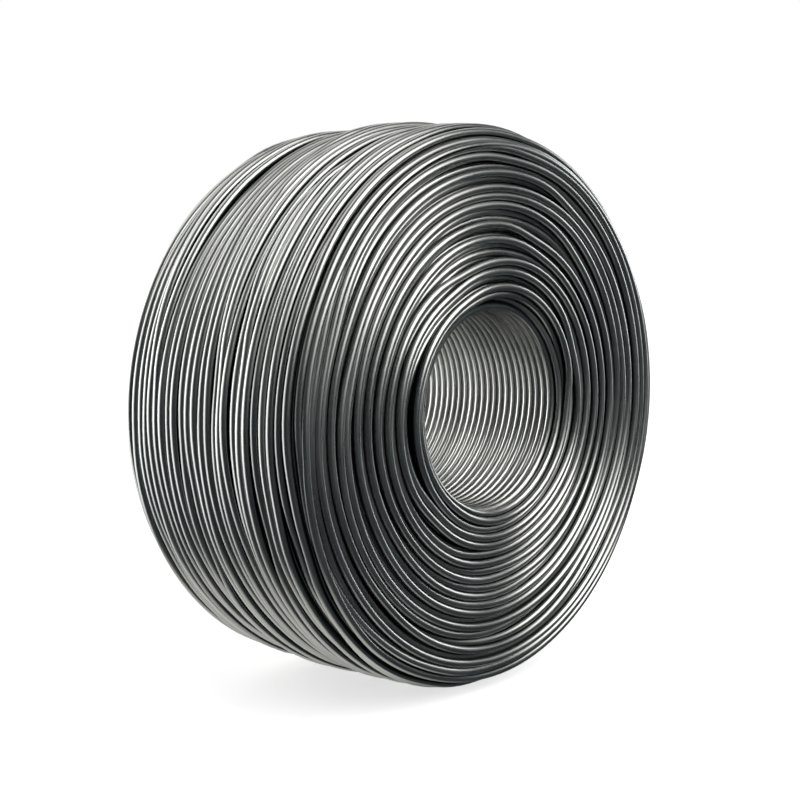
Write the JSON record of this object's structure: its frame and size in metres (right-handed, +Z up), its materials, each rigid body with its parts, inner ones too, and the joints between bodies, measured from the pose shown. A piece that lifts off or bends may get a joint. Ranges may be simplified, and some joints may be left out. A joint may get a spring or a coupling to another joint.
{
  "type": "coil of steel wire",
  "caption": "Small coil of bare steel wire, wound closely on a mandrel with a round bore and no spool, standing on its rim.",
  "frame": {"origin": "middle of the bore, on the coil's axis, halfway between the two ends", "axes": "+Y along the coil's axis, +Z up; the coil stands on its rim, and its two ends look along -Y and +Y"},
  "size_m": [0.11, 0.049, 0.11],
  "materials": {
    "steel_wire": "drawn steel wire with a satin oiled surface"
  },
  "bodies": {
    "root": {"wire_coil": "steel_wire"}
  },
  "joints": []
}
